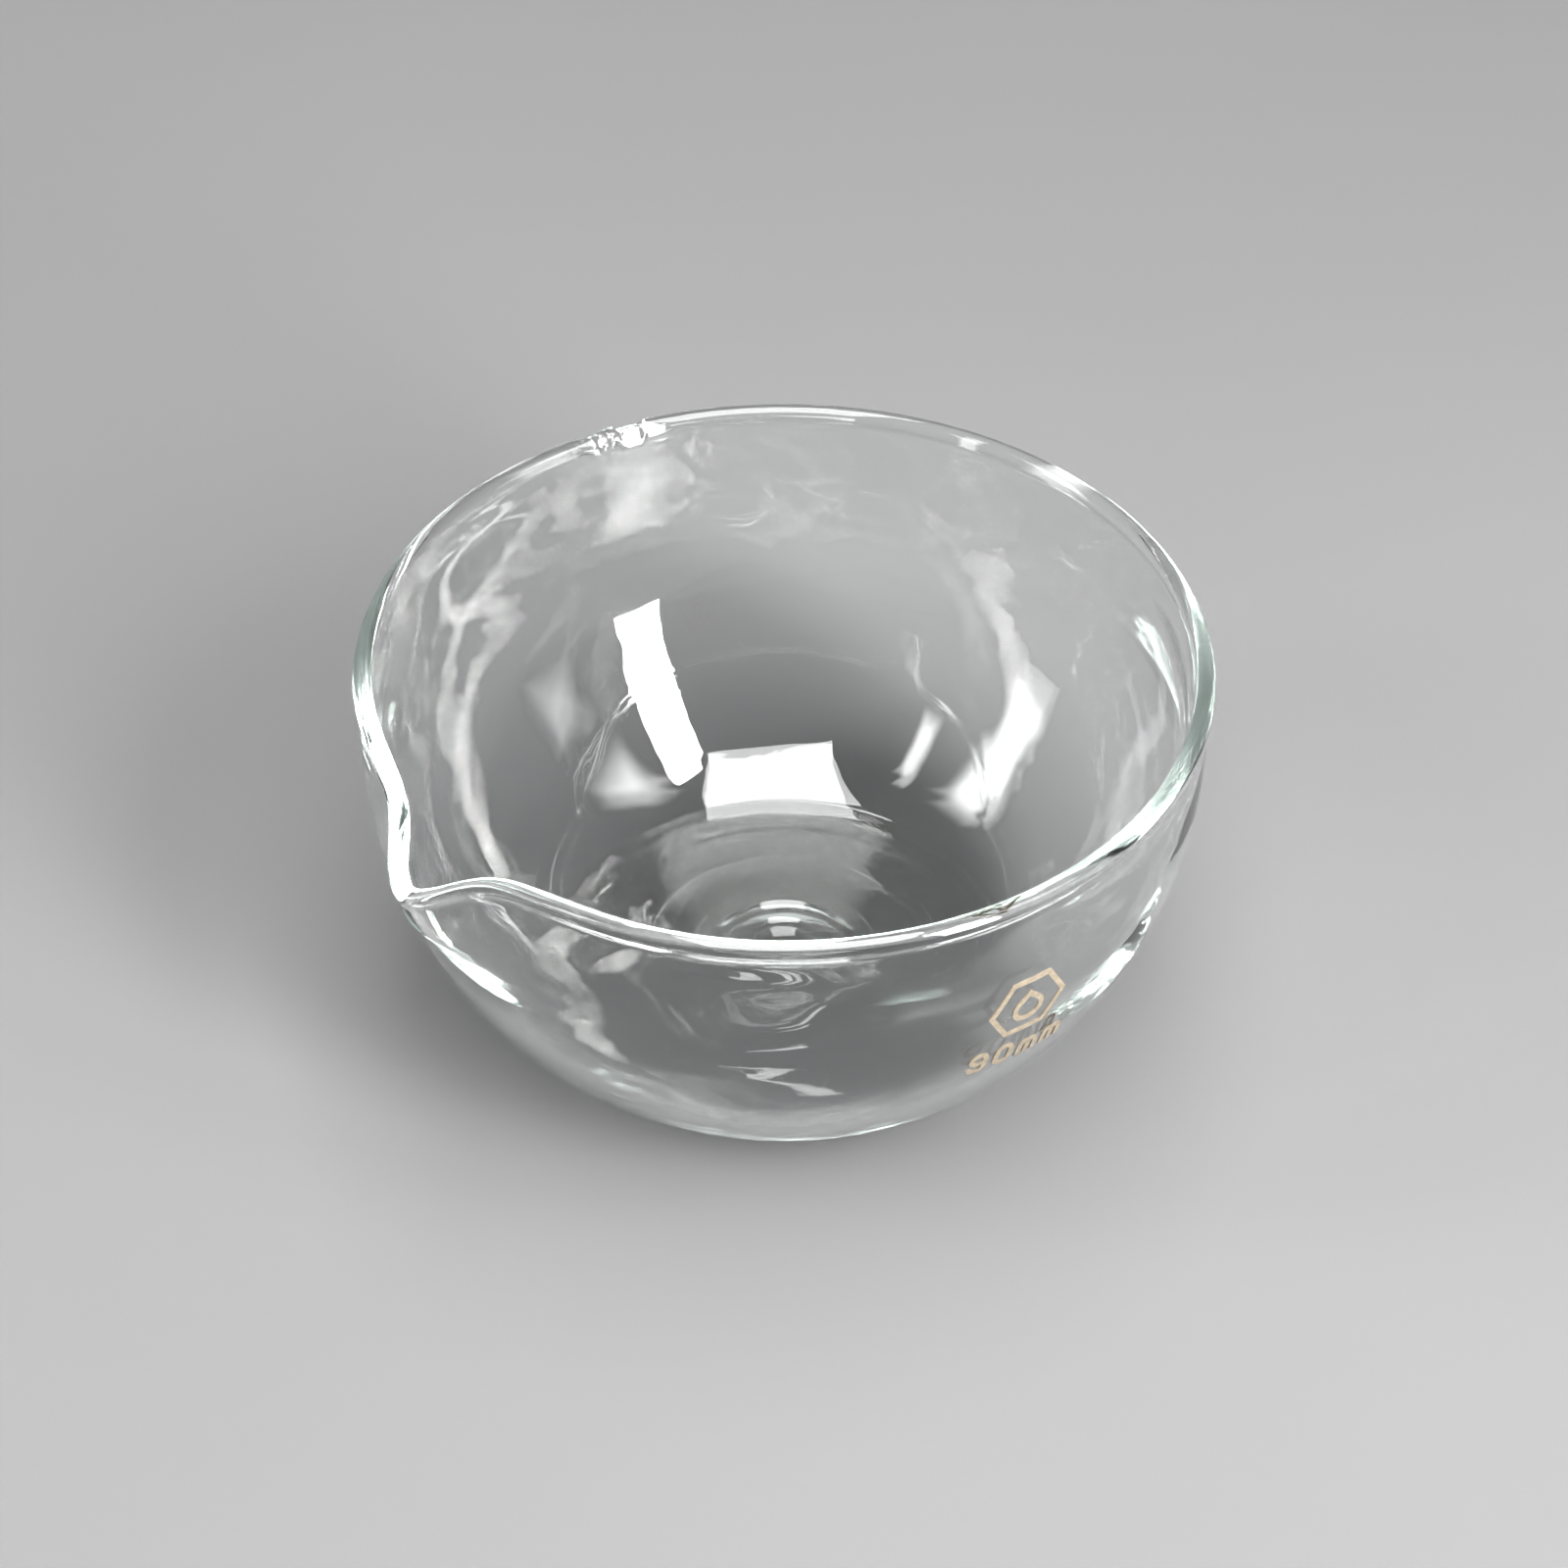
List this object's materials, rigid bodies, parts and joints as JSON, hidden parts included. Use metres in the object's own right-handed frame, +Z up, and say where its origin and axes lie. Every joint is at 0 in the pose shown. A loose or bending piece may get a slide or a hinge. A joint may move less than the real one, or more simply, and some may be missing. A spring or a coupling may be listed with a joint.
{
  "type": "evaporating dish",
  "caption": "Clear glass evaporating dish: a round-walled bowl on a flat base, with a beaded rim, a drawn pouring spout and fired size marks on the wall.",
  "frame": {"origin": "centre of the flat base, on the face that the dish stands on", "axes": "+Z up through the middle of the rim, -X towards the pouring spout, the size marks on the -Y side"},
  "size_m": [0.095, 0.0899, 0.045],
  "materials": {
    "borosilicate_glass": "fire polished, clear",
    "fired_enamel": "matt fired enamel"
  },
  "bodies": {
    "root": {"glass_dish": "borosilicate_glass", "enamel_badge_ring": "fired_enamel", "enamel_badge_drop": "fired_enamel", "enamel_digit_nine": "fired_enamel", "enamel_digit_zero": "fired_enamel", "enamel_unit_m_first": "fired_enamel", "enamel_unit_m_second": "fired_enamel"}
  },
  "joints": []
}
